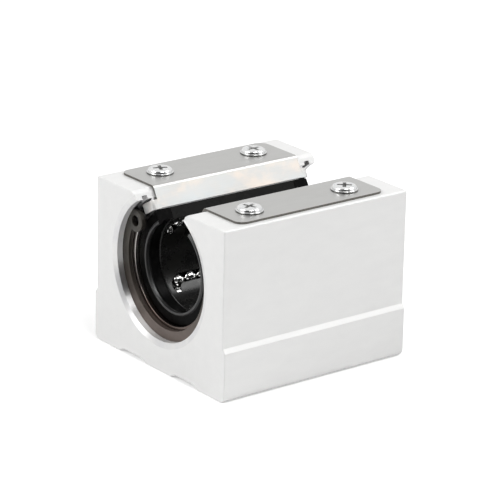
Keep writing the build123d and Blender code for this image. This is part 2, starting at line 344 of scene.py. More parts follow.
# the tool's marks run round the bore, so light spreads along it
turnedAluminium = {
    "shader": {"Metallic": 0.95, "Anisotropic": 0.95},
    "tangent": (1.0, 0.0, 0.0),
    "noises": {"rings": ((9000, 12, 12), 2), "cloud": ((300, 300, 300), 3)},
    "colour": ("cloud", (0.68, 0.68, 0.69), (0.77, 0.765, 0.75)),
    "roughness": ("rings", 0.36, 0.46),
    "bump": ("rings", 0.5, 0.02),
}

groundSteel = {
    "shader": {"Metallic": 1.0},
    "noises": {"rings": ((12000, 20, 20), 2), "stain": ((220, 220, 220), 4)},
    "colour": ("stain", (0.36, 0.36, 0.37), (0.46, 0.455, 0.44)),
    "roughness": ("rings", 0.2, 0.36),
    "bump": ("rings", 0.3, 0.005),
}

polishedBallSteel = {
    "shader": {"Metallic": 1.0},
    "noises": {"oil": ((900, 900, 900), 2)},
    "colour": ("oil", (0.80, 0.80, 0.80), (0.88, 0.875, 0.86)),
    "roughness": ("oil", 0.03, 0.08),
}

blackResin = {
    "shader": {"Specular IOR Level": 0.3},
    "noises": {"fine": ((6000, 6000, 6000), 2), "cloud": ((350, 350, 350), 3)},
    "colour": ("cloud", (0.007, 0.007, 0.007), (0.012, 0.012, 0.011)),
    "roughness": ("cloud", 0.22, 0.32),
    "bump": ("fine", 0.15, 0.01),
}

# a less reflective copy of the resin for the cage's slot faces under the flanges: painted shade
dullResin = {**blackResin, "shader": {"Specular IOR Level": 0.06}}

blackRubber = {
    "shader": {"Specular IOR Level": 0.025},
    "noises": {"fine": ((4000, 4000, 4000), 3), "dust": ((700, 700, 700), 5, 0.7)},
    "colour": ("dust", (0.003, 0.003, 0.003), (0.009, 0.009, 0.0085), 0.45, 0.8),
    "roughness": ("dust", 0.26, 0.42),
    "bump": ("fine", 0.2, 0.01),
}

# the lip gets a paler, more reflective copy of the rubber: painted highlight along the lip
polishedLip = {
    "shader": {},
    "noises": {"fine": ((2500, 2500, 2500), 3)},
    "colour": ("fine", (0.010, 0.010, 0.010), (0.018, 0.018, 0.018)),
    "roughness": ("fine", 0.3, 0.4),
}

# the spring rings are painted darker and the circlips paler and browner towards the bottom: painted shade and
# painted light by height
brightSpringSteel = {
    "shader": {"Metallic": 1.0},
    "noises": {"drawn": ((9000, 60, 60), 3), "tarnish": ((260, 260, 260), 3)},
    "colour": ("tarnish", (0.42, 0.41, 0.40), (0.56, 0.53, 0.50)),
    "foot": (13, 25, (0.11, 0.085, 0.075)),
    "roughness": ("drawn", 0.2, 0.35),
    "bump": ("drawn", 0.2, 0.005),
}

# painted light: the circlips are paler and browner towards the bottom
phosphatedSteel = {
    "shader": {"Metallic": 0.55},
    "noises": {"crystal": ((5000, 5000, 5000), 3), "oil": ((130, 130, 130), 3)},
    "colour": ("oil", (0.038, 0.036, 0.031), (0.060, 0.052, 0.043)),
    "foot": (8, 22, (0.125, 0.098, 0.085)),
    "roughness": ("crystal", 0.30, 0.46),
    "bump": ("crystal", 0.25, 0.01),
}

# cool and warm patches are painted on the flange below the bend
stainlessSheet = {
    "shader": {"Metallic": 0.9},
    "noises": {"grain": ((90, 9000, 9000), 3, 0.6), "cloud": ((120, 260, 260), 4)},
    "colour": ("grain", (0.468, 0.466, 0.455), (0.505, 0.502, 0.49)),
    "tintPatches": {
        "noise": ((150, 210, 210), 4, 0.55),
        "heights": (38.2, 38.8),
        "cool": ((0.7, 0, 0.32, 0.5), (0.46, 0.49, 0.50)),
        "warm": ((0, 0.6, 0.5, 0.64), (0.62, 0.54, 0.47)),
    },
    "roughness": ("cloud", 0.32, 0.42),
    "bump": ("grain", 0.1, 0.01),
}

# the ears are painted paler and less metallic than the sheet: painted light on the ears
stainlessEar = {
    **stainlessSheet,
    "shader": {"Metallic": 0.2},
    "colour": ("grain", (0.64, 0.64, 0.63), (0.74, 0.735, 0.72)),
}

# the cut faces high on the plates are painted dark: painted shade along the plates' edges
shearedEdge = {
    "shader": {"Metallic": 0.8},
    "noises": {"torn": ((2600, 2600, 2600), 4, 0.7)},
    "colour": ("torn", (0.11, 0.105, 0.095), (0.19, 0.18, 0.165)),
    "roughness": ("torn", 0.38, 0.55),
    "bump": ("torn", 0.3, 0.02),
}

# painted shade along the foot of the screws' rims
brightZinc = {
    "shader": {"Metallic": 1.0},
    "noises": {"cloud": ((900, 900, 900), 4), "fine": ((8000, 8000, 8000), 2)},
    "colour": ("cloud", (0.68, 0.69, 0.70), (0.80, 0.80, 0.79)),
    "foot": (39.2, 39.32, (0.13, 0.13, 0.125)),
    "roughness": ("cloud", 0.12, 0.24),
    "bump": ("fine", 0.04, 0.01),
}

# the cross recess is painted darker than the zinc: painted shade inside it
greasyRecess = {
    "shader": {"Metallic": 0.8},
    "noises": {"grease": ((3000, 3000, 3000), 3)},
    "colour": ("grease", (0.22, 0.22, 0.22), (0.40, 0.40, 0.39)),
    "roughness": ("grease", 0.3, 0.5),
}

materials = {
    "housing": makeFinish("anodisedAluminium", anodisedAluminium),
    "bore": makeFinish("turnedAluminium", turnedAluminium),
    "sleeve": makeFinish("groundSteel", groundSteel),
    "balls": makeFinish("polishedBallSteel", polishedBallSteel),
    "cage": makeFinish("blackResin", blackResin),
    "cageSlot": makeFinish("dullResin", dullResin),
    "seal": makeFinish("blackRubber", blackRubber),
    "sealLip": makeFinish("polishedLip", polishedLip),
    "springRing": makeFinish("brightSpringSteel", brightSpringSteel),
    "circlip": makeFinish("phosphatedSteel", phosphatedSteel),
    "plate": makeFinish("stainlessSheet", stainlessSheet),
    "plateEar": makeFinish("stainlessEar", stainlessEar),
    "plateEdge": makeFinish("shearedEdge", shearedEdge),
    "screw": makeFinish("brightZinc", brightZinc),
    "screwRecess": makeFinish("greasyRecess", greasyRecess),
}
print("materials made:", len(materials))


# Housing: one closed section, drawn at every place along the bore where it changes

housing = {
    "halfLength": 25.0,
    "halfWidth": 24.0,
    "height": 38.5,
    "ledgeHeight": 11.3,
    "ledgeRise": 1.0,
    "ledgeStep": 0.75,
    "footRadius": 1.6,
    "shoulderRadius": 0.5,
    "cornerRadius": 0.3,
    "railBevel": 0.7,
    "reliefInner": 4.5,
    "reliefOuter": 14.6,
    "reliefFlank": 2.0,
    "reliefDepth": 0.85,
    "slotAngle": 30.0,
    "slotWall": 0.6,
    "boreRadius": 16.0,
    "mouthWidth": 1.3,
    "mouthDepth": 0.4,
    "grooveRadius": 16.85,
    "grooveStart": 1.85,
    "grooveEnd": 3.15,
    "endRadius": 0.28,
    "endSteps": 4,
    "arcSteps": 144,
    "smoothAngle": 28,
}

threadedHole = {
    "spacing": 35.0,
    "minorRadius": 2.5,
    "majorRadius": 3.0,
    "pitch": 1.0,
    "depth": 12.0,
    "pointDepth": 1.5,
    "countersink": 0.3,
    "runIn": 0.8,
    "overrun": 1.0,
    "sides": 40,
    "rowsPerTurn": 8,
}

screwHole = {"spacingX": 26.0, "offsetY": 16.2, "radius": 1.5, "depth": 6.0, "overrun": 1.0}


def housingOutline(values):
    # right half, from the slot wall round the outside to the middle of the foot
    sine, cosine = math.sin(math.radians(values["slotAngle"])), math.cos(math.radians(values["slotAngle"]))
    top, upper = values["height"], values["halfWidth"] - values["ledgeStep"]
    soft, bevel = values["cornerRadius"], values["railBevel"]
    cornerY = (values["slotWall"] + (top - axisHeight) * sine) / cosine
    corners = [
        ((cornerY - bevel * sine, top - bevel * cosine), soft),
        ((cornerY + bevel, top), soft),
        ((upper, top), values["shoulderRadius"]),
        ((upper, values["ledgeHeight"] + values["ledgeRise"]), soft),
        ((values["halfWidth"], values["ledgeHeight"]), soft),
        ((values["halfWidth"], 0), values["footRadius"]),
        ((values["reliefOuter"], 0), soft),
        ((values["reliefOuter"] - values["reliefFlank"], values["reliefDepth"]), soft),
        ((values["reliefInner"] + values["reliefFlank"], values["reliefDepth"]), soft),
        ((values["reliefInner"], 0), soft),
    ]
    below = (cornerY - sine, top - cosine)
    points = roundCorners(corners, before=below, after=(0, 0))
    chain = [Vector(below)] + points + [Vector((0, 0))]
    outward = []
    for last, point, following in zip(chain, points, chain[2:]):
        sides = [(point - last).normalized(), (following - point).normalized()]
        normals = [Vector((-side.y, side.x)) for side in sides]
        middle = (normals[0] + normals[1]).normalized()
        outward.append(middle / middle.dot(normals[0]))
    return points, outward


def housingSection(values, outline, outward, radius, inset):
    sine, cosine = math.sin(math.radians(values["slotAngle"])), math.cos(math.radians(values["slotAngle"]))
    wall = values["slotWall"] + inset
    along = math.sqrt(radius ** 2 - wall ** 2)
    right = [Vector((along * sine + wall * cosine, axisHeight + along * cosine - wall * sine))]
    right += [point - way * inset for point, way in zip(outline, outward)]
    left = [Vector((-point.x, point.y)) for point in reversed(right)]
    first = math.radians(values["slotAngle"]) + math.asin(wall / radius)
    sweep = 2 * (math.pi - first)
    arc = []
    for step in range(1, values["arcSteps"]):
        angle = -first - sweep * step / values["arcSteps"]
        arc.append(Vector((radius * math.sin(angle), axisHeight + radius * math.cos(angle))))
    return right + left + arc


def housingStations(values):
    # (distance from the end, bore radius, inset of the outside)
    bore, groove, mouth = values["boreRadius"], values["grooveRadius"], values["mouthDepth"]
    stations = []
    for step in range(values["endSteps"] + 1):
        turn = math.radians(90 * step / values["endSteps"])
        depth = values["endRadius"] * (1 - math.cos(turn))
        inset = values["endRadius"] * (1 - math.sin(turn))
        stations.append((depth, bore + values["mouthWidth"] * (1 - depth / mouth), inset))
    stations.append((mouth, bore, 0))
    stations += [(values["grooveStart"], bore, 0), (values["grooveStart"], groove, 0)]
    stations += [(values["grooveEnd"], groove, 0), (values["grooveEnd"], bore, 0)]
    near = [(depth - values["halfLength"], radius, inset) for depth, radius, inset in stations]
    return near + [(-x, radius, inset) for x, radius, inset in reversed(near)]


def threadCutter(values, x, y):
    # a tap's shape: one helical groove, run in from the mouth and run out at the bottom
    sides, pitch = values["sides"], values["pitch"]
    rows = int(values["depth"] / pitch * values["rowsPerTurn"])
    start = len(cutterPoints)
    flare = values["minorRadius"] + values["countersink"]
    rings = [(-values["overrun"], [flare] * sides), (0.0, [flare] * sides)]
    for row in range(1, rows + 1):
        z = values["depth"] * row / rows
        fromMouth, fromBottom = max(0.0, z - values["countersink"]), values["depth"] - z
        fade = min(1.0, fromMouth / values["runIn"], fromBottom / values["runIn"])
        ring = []
        for side in range(sides):
            phase = (z / pitch - side / sides) % 1.0
            groove = 1 - abs(2 * phase - 1)
            ring.append(values["minorRadius"] + (values["majorRadius"] - values["minorRadius"]) * groove * fade)
        rings.append((z, ring))
    for z, ring in rings:
        for side, radius in enumerate(ring):
            angle = 2 * math.pi * side / sides
            cutterPoints.append((x + radius * math.cos(angle), y + radius * math.sin(angle), z))
    for level in range(len(rings) - 1):
        low, high = start + level * sides, start + (level + 1) * sides
        for side in range(sides):
            following = (side + 1) % sides
            cutterFaces.append((low + side, low + following, high + following, high + side))
    cutterFaces.append(tuple(start + side for side in range(sides)))
    tip = len(cutterPoints)
    cutterPoints.append((x, y, values["depth"] + values["pointDepth"]))
    last = start + (len(rings) - 1) * sides
    for side in range(sides):
        cutterFaces.append((last + side, last + (side + 1) % sides, tip))


def plainCutter(radius, x, y, low, high, sides=32):
    start = len(cutterPoints)
    for z in (low, high):
        for side in range(sides):
            angle = 2 * math.pi * side / sides
            cutterPoints.append((x + radius * math.cos(angle), y + radius * math.sin(angle), z))
    for side in range(sides):
        following = (side + 1) % sides
        cutterFaces.append((start + side, start + following, start + sides + following, start + sides + side))
    cutterFaces.append(tuple(start + side for side in range(sides)))
    cutterFaces.append(tuple(start + sides + side for side in range(sides)))


cutterPoints, cutterFaces = [], []
for signX in (-1, 1):
    for signY in (-1, 1):
        threadCutter(threadedHole, signX * threadedHole["spacing"] / 2, signY * threadedHole["spacing"] / 2)
        plainCutter(screwHole["radius"], signX * screwHole["spacingX"] / 2, signY * screwHole["offsetY"],
                    housing["height"] - screwHole["depth"], housing["height"] + screwHole["overrun"])
cutter = newMesh("holeCutter", cutterPoints, cutterFaces)
closeAndTurnOut(cutter)


def makeHousing(values):
    outline, outward = housingOutline(values)
    sections = []
    for x, radius, inset in housingStations(values):
        section = housingSection(values, outline, outward, radius, inset)
        sections.append([(x, point.x, point.y) for point in section])
    count = len(sections[0])
    firstArc = 2 * (len(outline) + 1) - 1
    points = [point for section in sections for point in section]
    faces, boreFaces = [], []
    for level in range(len(sections) - 1):
        for index in range(count):
            following = (index + 1) % count
            low, high = level * count, (level + 1) * count
            boreFaces.append(index >= firstArc)
            faces.append((low + index, low + following, high + following, high + index))
    faces.append(tuple(range(count)))
    faces.append(tuple((len(sections) - 1) * count + index for index in range(count)))
    piece = newMesh("housing", points, faces)
    piece.data.materials.append(materials["housing"])
    piece.data.materials.append(materials["bore"])
    for face, inBore in zip(piece.data.polygons, boreFaces):
        face.material_index = int(inBore)
    closeAndTurnOut(piece)
    for slotMaterial in ("housing", "bore"):
        cutter.data.materials.append(materials[slotMaterial])
    for face in cutter.data.polygons:
        face.material_index = 1
    addModifier(piece, "BOOLEAN", object=cutter, operation="DIFFERENCE", solver="EXACT")
    settle(piece)
    shade(piece, values["smoothAngle"])
    evenShading(piece)
    finishPiece(piece, "anodised_aluminium", "housing_block")


makeHousing(housing)
bpy.data.objects.remove(cutter)
print("housing made with threaded holes")


# Ball bushing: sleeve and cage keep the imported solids' shape, merged and smoothed

bushing = {"smoothAngle": 30, "slotAbove": 30.0, "slotFacing": 0.8}


def makeFromNode(values, node, name, material, slot):
    piece = copyOfNode(node, name)
    piece.data.materials.append(material)
    shade(piece, values["smoothAngle"])
    finishPiece(piece, slot, node)
    return piece


def paintShadeOnSlotFaces(cage, values):
    # painted shade: the slot faces under the flanges take the less reflective resin
    cage.data.materials.append(materials["cageSlot"])
    for face in cage.data.polygons:
        across, above = face.normal.y, face.center.z > values["slotAbove"] * mm
        face.material_index = int(above and abs(across) > values["slotFacing"] and across * face.center.y < 0)


makeFromNode(bushing, "bearing_sleeve", "sleeve", materials["sleeve"], "bearing_steel")
paintShadeOnSlotFaces(makeFromNode(bushing, "ball_cage", "cage", materials["cage"], "black_resin"), bushing)
print("sleeve and cage made")


ballCircuits = {
    "ballRadius": 1.5875,
    "loadRadius": 11.5975,
    "returnRadius": 12.4475,
    "rowSpacing": 22.0,
    "rows": {"lower": 52.0, "upper": 128.0},
    "halfStraight": 12.5,
    "balls": 19,
    "segments": 32,
    "rings": 18,
}


def ballTree():
    tree, given, made = geometryTree("ballsOnPoints", [
        ("Ball Radius", "Float"), ("Segments", "Int"), ("Rings", "Int"), ("Material", "Material")])
    ball = addNode(tree, "GeometryNodeMeshUVSphere")
    place = addNode(tree, "GeometryNodeInstanceOnPoints")
    real = addNode(tree, "GeometryNodeRealizeInstances")
    smooth = addNode(tree, "GeometryNodeSetShadeSmooth")
    paint = addNode(tree, "GeometryNodeSetMaterial")
    wire(tree,
         (given["Ball Radius"], ball.inputs["Radius"]),
         (given["Segments"], ball.inputs["Segments"]),
         (given["Rings"], ball.inputs["Rings"]),
         (given["Geometry"], place.inputs["Points"]),
         (ball.outputs["Mesh"], place.inputs["Instance"]),
         (place.outputs["Instances"], smooth.inputs["Geometry"]),
         (smooth.outputs["Geometry"], real.inputs["Geometry"]),
         (real.outputs["Geometry"], paint.inputs["Geometry"]),
         (given["Material"], paint.inputs["Material"]),
         (paint.outputs["Geometry"], made["Geometry"]))
    return tree


def pointOnOval(distance, half, turnRadius):
    # along a straight row, a half turn, the other row and the other half turn
    turn = math.pi * turnRadius
    distance %= 4 * half + 2 * turn
    if distance <= half:
        return distance, -turnRadius
    if distance <= half + turn:
        angle = (distance - half) / turnRadius
        return half + turnRadius * math.sin(angle), -turnRadius * math.cos(angle)
    if distance <= 3 * half + turn:
        return 2 * half + turn - distance, turnRadius
    if distance <= 3 * half + 2 * turn:
        angle = (distance - 3 * half - turn) / turnRadius
        return -half - turnRadius * math.sin(angle), turnRadius * math.cos(angle)
    return distance - 4 * half - 2 * turn, -turnRadius


def bisect(low, high, tooSmall):
    for _ in range(40):
        middle = (low + high) / 2
        low, high = (middle, high) if tooSmall(middle) else (low, middle)
    return low


def evenPlaces(count, half, turnRadius):
    # every ball the same straight distance from the next one
    loop = 4 * half + 2 * math.pi * turnRadius

    def chord(start, end):
        return math.dist(pointOnOval(start, half, turnRadius), pointOnOval(end, half, turnRadius))

    def lineUp(spacing):
        places = [0.0]
        for _ in range(count):
            last = places[-1]
            places.append(bisect(last, last + 2 * spacing, lambda place: chord(last, place) < spacing))
        return places

    even = loop / count
    spacing = bisect(even / 2, even, lambda gap: lineUp(gap)[-1] < loop)
    return [pointOnOval(place, half, turnRadius) for place in lineUp(spacing)[:-1]]


def circuitPoints(values, loadAngle, side):
    def rowPoint(radius, angle):
        angle = math.radians(angle)
        return Vector((0, side * radius * math.sin(angle), axisHeight - radius * math.cos(angle)))

    load = rowPoint(values["loadRadius"], loadAngle)
    back = rowPoint(values["returnRadius"], loadAngle - values["rowSpacing"])
    across = (back - load).normalized()
    turnRadius = (back - load).length / 2
    middle = (load + back) / 2
    along = Vector((1, 0, 0))
    places = evenPlaces(values["balls"], values["halfStraight"], turnRadius)
    return [middle + along * x + across * y for x, y in places]


def makeBalls(values):
    tree = ballTree()
    for row, angle in values["rows"].items():
        for name, side in (("left", 1), ("right", -1)):
            piece = newMesh("balls" + row.title() + name.title(), circuitPoints(values, angle, side), [])
            runTree(piece, tree, {"Ball Radius": values["ballRadius"] * mm, "Segments": values["segments"],
                                  "Rings": values["rings"], "Material": materials["balls"]})
            finishPiece(piece, "ball_steel", f"ball_circuit_{row}_{name}")


makeBalls(ballCircuits)
print("ball circuits made")


# Seals and spring rings: a profile swept round the bore

endSeal = {
    "start": 17.15,
    "bodyBore": 10.6,
    "outerRadius": 13.15,
    "stepX": 20.3,
    "stepRadius": 12.95,
    "front": 20.85,
    "lipRadius": 10.05,
    "lipCrown": 10.55,
    "lipFlare": 10.85,
    "lipFront": 21.15,
    "lipBack": 20.35,
    "undercut": 19.55,
    "cornerRadii": (0.1, 0.1, 0.04, 0.04, 0.25, 0.15, 0.12, 0.14, 0.3, 0.4),
    "cornerSteps": 3,
    "openHalfAngle": 31.2,
    "segments": 120,
    "smoothAngle": 50,
}

springRing = {
    "inner": 13.0,
    "outer": 13.8,
    "back": 20.3,
    "front": 21.9,
    "edgeRadius": 0.15,
    "openHalfAngle": 49.7,
    "segments": 110,
    "smoothAngle": 35,
}


def sweepTree():
    # the profile lies in XY, its X across the bore; it is swept round Z
    tree, given, made = geometryTree("profileRoundBore", [
        ("Radius", "Float"), ("Start Angle", "Float"), ("Sweep Angle", "Float"), ("Segments", "Int"),
        ("Material", "Material")])
    profile = addNode(tree, "GeometryNodeMeshToCurve")
    arc = addNode(tree, "GeometryNodeCurveArc", mode="RADIUS")
    sweep = addNode(tree, "GeometryNodeCurveToMesh")
    sweep.inputs["Fill Caps"].default_value = True
    real = addNode(tree, "GeometryNodeRealizeInstances")
    paint = addNode(tree, "GeometryNodeSetMaterial")
    wire(tree,
         (given["Geometry"], profile.inputs["Mesh"]),
         (given["Radius"], arc.inputs["Radius"]),
         (given["Start Angle"], arc.inputs["Start Angle"]),
         (given["Sweep Angle"], arc.inputs["Sweep Angle"]),
         (given["Segments"], arc.inputs["Resolution"]),
         (arc.outputs["Curve"], sweep.inputs["Curve"]),
         (profile.outputs["Curve"], sweep.inputs["Profile Curve"]),
         (sweep.outputs["Mesh"], real.inputs["Geometry"]),
         (real.outputs["Geometry"], paint.inputs["Geometry"]),
         (given["Material"], paint.inputs["Material"]),
         (paint.outputs["Geometry"], made["Geometry"]))
    return tree


def sweptRing(name, tree, profile, middleRadius, openHalfAngle, segments, material, end):
    # profile points are (radius, distance from the middle of the block); end is -1 or 1
    points = [(radius - middleRadius, along, 0) for radius, along in profile]
    edges = [(index, (index + 1) % len(points)) for index in range(len(points))]
    piece = newMesh(name, points, [], edges)
    runTree(piece, tree, {"Radius": middleRadius * mm, "Start Angle": math.radians(openHalfAngle),
                          "Sweep Angle": math.radians(360 - 2 * openHalfAngle), "Segments": segments,
                          "Material": material})
    low = min(vertex.co.z for vertex in piece.data.vertices)
    flip = -1 if low < -mm else 1  # which way the sweep lays the profile's Y
    across = Matrix(((0, 0, end * flip), (0, 1, 0), (1, 0, 0))).to_4x4()
    piece.data.transform(Matrix.Translation((0, 0, axisHeight * mm)) @ across)
    closeAndTurnOut(piece)
    return piece


def makeSeals(values, tree):
    corners = [
        (values["bodyBore"], values["start"]),
        (values["outerRadius"], values["start"]),
        (values["outerRadius"], values["stepX"]),
        (values["stepRadius"], values["stepX"]),
        (values["stepRadius"], values["front"]),
        (values["lipFlare"], values["front"]),
        (values["lipCrown"], values["lipFront"]),
        (values["lipRadius"], values["lipFront"]),
        (values["lipRadius"], values["lipBack"]),
        (values["bodyBore"], values["undercut"]),
    ]
    profile = roundCorners(list(zip(corners, values["cornerRadii"])), closed=True, steps=values["cornerSteps"])
    middle = (values["bodyBore"] + values["outerRadius"]) / 2
    for end, name in ((-1, "front"), (1, "rear")):
        piece = sweptRing("seal" + name.title(), tree, profile, middle, values["openHalfAngle"],
                          values["segments"], materials["seal"], end)
        piece.data.materials.append(materials["sealLip"])
        # the lip takes the painted-highlight rubber
        for face in piece.data.polygons:
            radius = math.hypot(face.center.y, face.center.z - axisHeight * mm)
            isLip = radius < values["lipFlare"] * mm and abs(face.center.x) > values["lipBack"] * mm
            face.material_index = int(isLip)
        shade(piece, values["smoothAngle"])
        finishPiece(piece, "black_rubber", "end_seal_" + name)


def makeSpringRings(values, tree):
    edge = values["edgeRadius"]
    corners = [
        ((values["inner"], values["back"]), edge),
        ((values["outer"], values["back"]), edge),
        ((values["outer"], values["front"]), edge),
        ((values["inner"], values["front"]), edge),
    ]
    profile = roundCorners(corners, closed=True)
    middle = (values["inner"] + values["outer"]) / 2
    for end, name in ((-1, "front"), (1, "rear")):
        piece = sweptRing("springRing" + name.title(), tree, profile, middle, values["openHalfAngle"],
                          values["segments"], materials["springRing"], end)
        shade(piece, values["smoothAngle"])
        finishPiece(piece, "spring_steel_ring", "spring_ring_" + name)


ringTree = sweepTree()
makeSeals(endSeal, ringTree)
makeSpringRings(springRing, ringTree)
print("seals and spring rings made")


# Circlips: stamped from flat steel, so a flat outline with a thickness and soft edges

circlip = {
    "outerRadius": 16.75,
    "width": 2.9,
    "eccentricity": 0.15,
    "lugAngle": 55.3,
    "cutAngle": 40.0,
    "lugCircle": 13.9,
    "lugRadius": 2.55,
    "holeRadius": 1.25,
    "thickness": 1.2,
    "front": 23.1,
    "edgeRadius": 0.1,
    "edgeSteps": 2,
    "arcSteps": 120,
    "lugSteps": 32,
    "smoothAngle": 30,
}


def circlipOutline(values):
    # from the lug along the inner edge to the plain cut end, and back along the outer edge
    lugTurn, cutTurn = math.radians(values["lugAngle"]), math.radians(360 - values["cutAngle"])
    outer, inner = values["outerRadius"], values["outerRadius"] - values["width"]

    def heading(turn):
        return Vector((math.sin(turn), math.cos(turn)))

    def onInner(turn):
        return heading(turn) * inner + Vector((0, values["eccentricity"]))

    # where the lug's round meets the ring's inner edge
    lug = heading(lugTurn) * values["lugCircle"]
    meet = bisect(lugTurn, lugTurn + math.radians(30),
                  lambda turn: (onInner(turn) - lug).length < values["lugRadius"])
    fromLug = onInner(meet) - lug
    roundLug = (math.atan2(fromLug.x, fromLug.y) - lugTurn) % (2 * math.pi) - 2 * math.pi
    steps, count = values["lugSteps"], values["arcSteps"]
    lugEdge = [lug + heading(lugTurn + roundLug * step / steps) * values["lugRadius"] for step in range(steps + 1)]
    innerEdge = [onInner(meet + (cutTurn - meet) * step / count) for step in range(1, count + 1)]
    outerEdge = [heading(cutTurn + (lugTurn - cutTurn) * step / count) * outer for step in range(count + 1)]
    rim = [lug + heading(2 * math.pi * step / steps) * values["holeRadius"] for step in range(steps)]
    return lugEdge + innerEdge + outerEdge, rim


def addSpline(curve, points):
    spline = curve.splines.new("POLY")
    spline.points.add(len(points) - 1)
    for target, point in zip(spline.points, points):
        target.co = (point.x * mm, point.y * mm, 0, 1)
    spline.use_cyclic_u = True


def makeCirclips(values):
    for end, name in ((-1, "front"), (1, "rear")):
        curve = bpy.data.curves.new("circlip" + name.title(), "CURVE")
        curve.dimensions = "2D"
        curve.fill_mode = "BOTH"
        for points in circlipOutline(values):
            addSpline(curve, points)
        curve.bevel_depth = values["edgeRadius"] * mm
        curve.bevel_resolution = values["edgeSteps"]
        curve.offset = -values["edgeRadius"] * mm
        curve.extrude = (values["thickness"] / 2 - values["edgeRadius"]) * mm
        flat = bpy.data.objects.new(curve.name, curve)
        scene.collection.objects.link(flat)
        bpy.context.view_layer.update()
        mesh = bpy.data.meshes.new_from_object(flat.evaluated_get(bpy.context.evaluated_depsgraph_get()))
        bpy.data.objects.remove(flat)
        piece = linkMesh("circlip" + name.title(), mesh)
        stand = Matrix(((0, 0, 1), (1, 0, 0), (0, 1, 0))).to_4x4()
        x = end * (values["front"] - values["thickness"] / 2)
        piece.data.transform(Matrix.Translation((x * mm, 0, axisHeight * mm)) @ stand)
        piece.data.materials.clear()
        piece.data.materials.append(materials["circlip"])
        closeAndTurnOut(piece)
        shade(piece, values["smoothAngle"])
        evenShading(piece)
        finishPiece(piece, "phosphated_steel", "circlip_" + name)


makeCirclips(circlip)
print("circlips made")


# Retaining plates: the imported sheet with its edges broken, its cut edges painted dark as shade and its ears
# painted paler as light

plateEdge = {
    "width": 0.1,
    "segments": 2,
    "angle": 40,
    "sheet": 0.5,
    "probeDepth": 0.01,
    "darkAbove": 37.6,
    "earBend": 20.15,
    "smoothAngle": 30,
}


def markFaces(shape):
    # a cut face has much more metal behind it than the sheet is thick
    inside = BVHTree.FromBMesh(shape)
    for face in shape.faces:
        middle = face.calc_center_median()
        start = middle - face.normal * plateEdge["probeDepth"] * mm
        depth = inside.ray_cast(start, -face.normal)[3]
        isCut = depth is not None and depth > 2 * plateEdge["sheet"] * mm
        onEar = abs(middle.x) > plateEdge["earBend"] * mm
        # cut faces high on the plate take the painted-shade edge, and the ears the paler painted-light sheet
        isDark = isCut and middle.z > plateEdge["darkAbove"] * mm
        face.material_index = 2 if onEar else int(isDark)


def makePlates(values):
    for name in ("left", "right"):
        piece = copyOfNode("retaining_plate_" + name, "plate" + name.title(), markFaces)
        for part in ("plate", "plateEdge", "plateEar"):
            piece.data.materials.append(materials[part])
        addModifier(piece, "BEVEL", width=values["width"] * mm, segments=values["segments"], limit_method="ANGLE",
                    angle_limit=math.radians(values["angle"]), use_clamp_overlap=True)
        settle(piece)
        shade(piece, values["smoothAngle"])
        evenShading(piece)
        finishPiece(piece, "stainless_sheet", "retaining_plate_" + name)


makePlates(plateEdge)
print("retaining plates made")


# Plate screws: one screw turned from its profile, set on four points

plateScrew = {
    "seat": 39.0,
    "spacingX": 26.0,
    "offsetY": 16.2,
    "shankRadius": 1.45,
    "shankLength": 5.5,
    "rimRadius": 3.05,
    "rimHeight": 0.3,
    "headRadius": 2.75,
    "headHeight": 1.1,
    "cornerRadii": (0.7, 0.08, 0.1, 0.08, 0.1, 0.3),
    "cornerSteps": 6,
    "recessWidth": 0.75,
    "recessLength": 3.2,
    "recessDepth": 0.8,
    "recessTaper": 12.0,
    "recessOverrun": 0.2,
    "recessFloorShare": 0.8,
    "recessTopSpare": 0.05,
    "recessSideShare": 0.3,
    "edgeWidth": 0.07,
    "edgeSegments": 2,
    "edgeAngle": 42,
    "smoothAngle": 32,
    "sides": 72,
    "turns": (20, 65, 50, 5),
}


